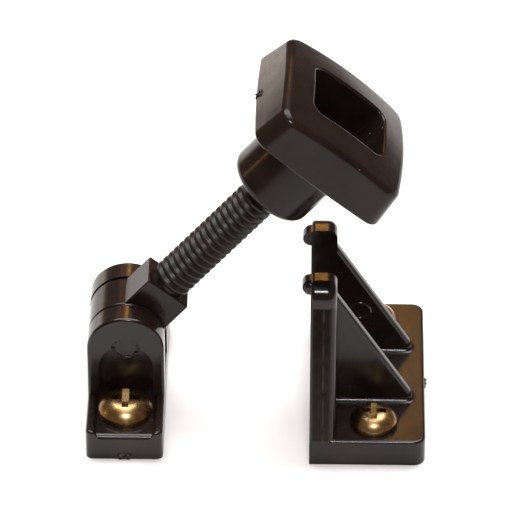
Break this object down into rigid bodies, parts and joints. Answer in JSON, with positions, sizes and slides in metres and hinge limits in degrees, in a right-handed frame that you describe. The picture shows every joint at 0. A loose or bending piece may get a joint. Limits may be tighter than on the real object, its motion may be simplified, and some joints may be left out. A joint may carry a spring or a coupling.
{
  "type": "hatch fastener",
  "caption": "Two-part hatch fastener: a screwed-down hinge base with a threaded swing bolt and clamp knob, and a separate keeper with two horns that the bolt drops between.",
  "frame": {"origin": "on the mounting face, midway between the two screws of the hinge base, below the middle of the hinge pin", "axes": "+Z away from the mounting face, +X from the hinge base towards the keeper, +Y along the hinge pin"},
  "size_m": [0.058, 0.0388, 0.0819],
  "materials": {
    "black_nylon": "moulded, semi-gloss",
    "stainless": "polished pan heads",
    "brass": "turned"
  },
  "bodies": {
    "mounting": {"hinge_base": "black_nylon", "hinge_pin": "black_nylon", "base_screw_front": "stainless", "base_screw_rear": "stainless", "horn_keeper": "black_nylon", "keeper_screw_front": "stainless", "keeper_screw_rear": "stainless"},
    "bolt": {"swing_bolt": "black_nylon"},
    "insert": {"thread_insert": "brass"},
    "knob": {"clamp_knob": "black_nylon"}
  },
  "joints": [
    {"name": "bolt_swing", "type": "hinge", "parent": "mounting", "child": "bolt", "pos_m": [0, 0, 0.01545], "axis": [0, -1, 0], "range_deg": [-9.5, 120]},
    {"name": "knob_travel", "type": "slide", "parent": "bolt", "child": "insert", "axis": [0.6455, 0, 0.7638], "range_m": [-0.00595, 0.0021]},
    {"name": "knob_spin", "type": "hinge", "parent": "insert", "child": "knob", "pos_m": [0, 0, 0.01545], "axis": [0.6455, 0, 0.7638], "range_deg": [-1530, 540]}
  ],
  "couplings": [
    {"joint": "knob_travel", "follows": "knob_spin", "m_per_rad": 0.00022282}
  ]
}
